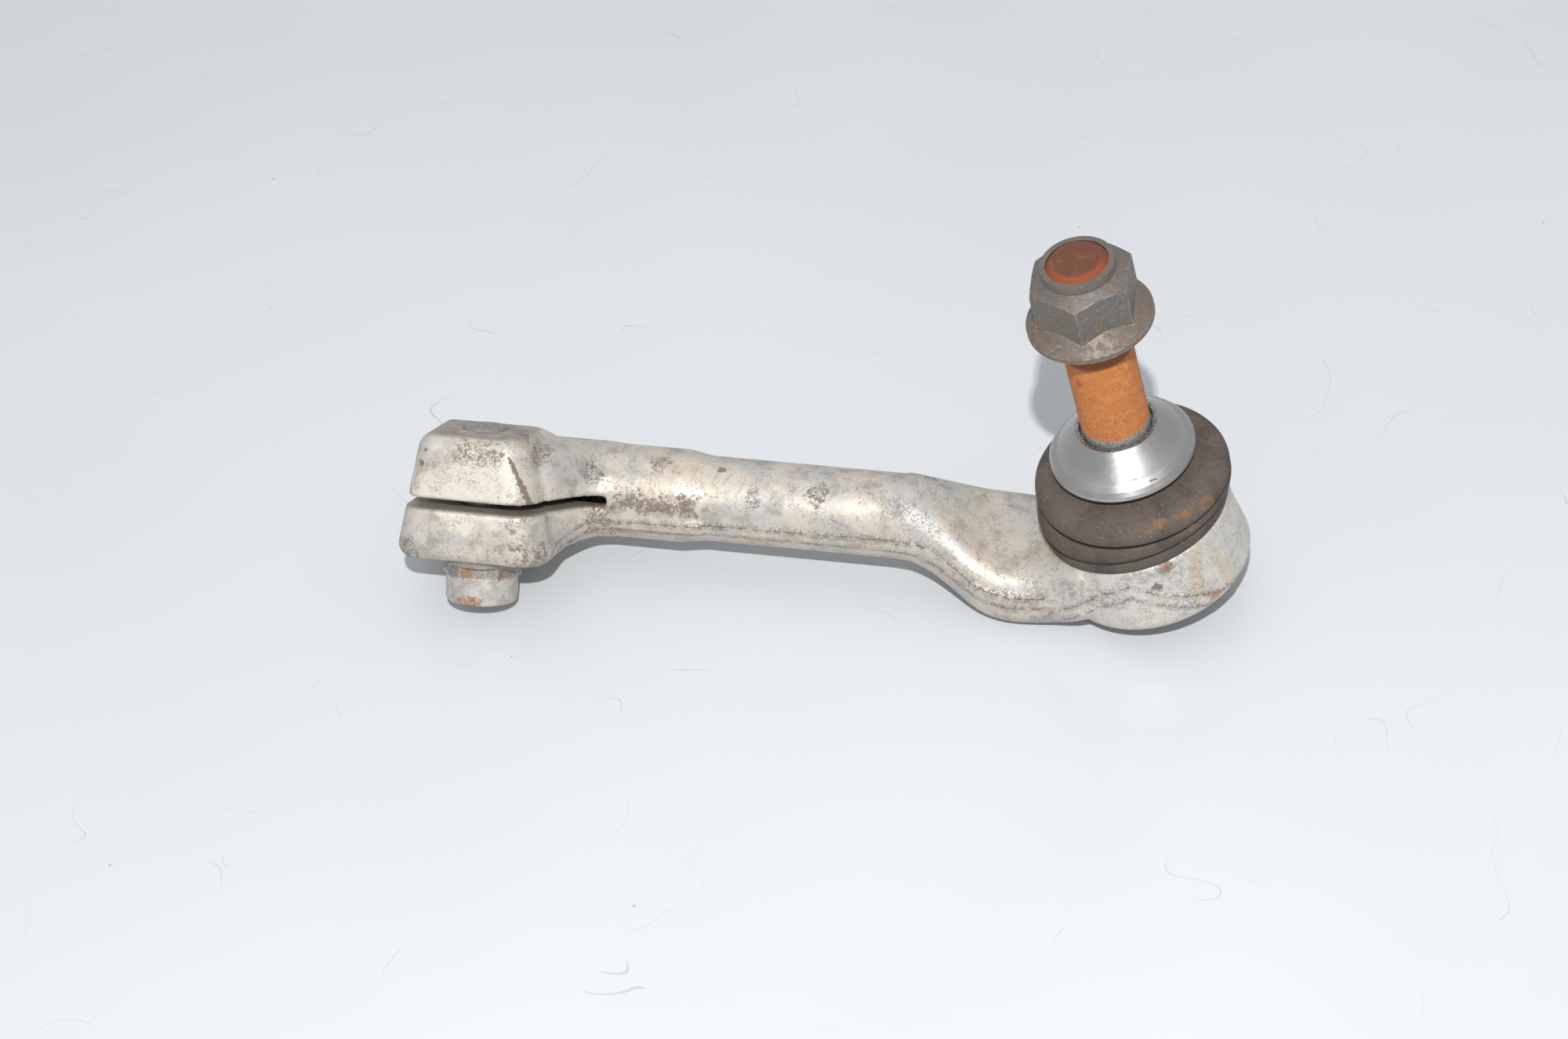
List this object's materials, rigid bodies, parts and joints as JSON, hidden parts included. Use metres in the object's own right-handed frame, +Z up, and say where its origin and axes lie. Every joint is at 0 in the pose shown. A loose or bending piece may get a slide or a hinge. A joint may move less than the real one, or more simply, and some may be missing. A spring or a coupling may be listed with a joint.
{
  "type": "tie rod end",
  "caption": "Forged aluminium steering tie rod end: split pinch clamp with threaded bore, cranked arm, and a booted ball joint whose stud carries a cone ring and a flange nut.",
  "frame": {"origin": "centre of the ball in the socket", "axes": "+X along the rod from the clamp to the joint, +Z up from the table the part lies on"},
  "size_m": [0.1944, 0.0587, 0.1017],
  "materials": {
    "forged_aluminium": "sand-blasted forging, pitted and stained",
    "seat_plastic": "natural plastic",
    "plate_steel": "pressed steel",
    "zinc_steel": "dull zinc plate with rust spots",
    "boot_rubber": "matt rubber under dust",
    "ring_steel": "dark spring wire",
    "stud_steel": "steel under orange rust",
    "turned_steel": "fine turned, bright",
    "nut_steel": "dark phosphate, worn at the edges"
  },
  "bodies": {
    "arm": {"forged_body": "forged_aluminium", "ball_seat": "seat_plastic", "closing_plate": "plate_steel", "pinch_bolt": "zinc_steel"},
    "boot": {"dust_boot": "boot_rubber", "boot_lower_ring": "ring_steel"},
    "collar": {"boot_upper_ring": "ring_steel"},
    "stud": {"ball_stud": "stud_steel", "cone_ring": "turned_steel", "flange_nut": "nut_steel"}
  },
  "joints": [
    {"name": "lean_turn", "type": "hinge", "parent": "arm", "child": "boot", "pos_m": [0, 0, 0], "axis": [-0.2756, 0, 0.9613], "continuous": true},
    {"name": "stud_lean", "type": "hinge", "parent": "boot", "child": "collar", "pos_m": [0, 0, 0], "axis": [0.3736, 0.9214, 0.1071], "range_deg": [-27.64, 12.36], "deforming": ["dust_boot"]},
    {"name": "stud_spin", "type": "hinge", "parent": "collar", "child": "stud", "pos_m": [0, 0, 0], "axis": [-0.1554, -0.0517, 0.9865], "continuous": true}
  ]
}
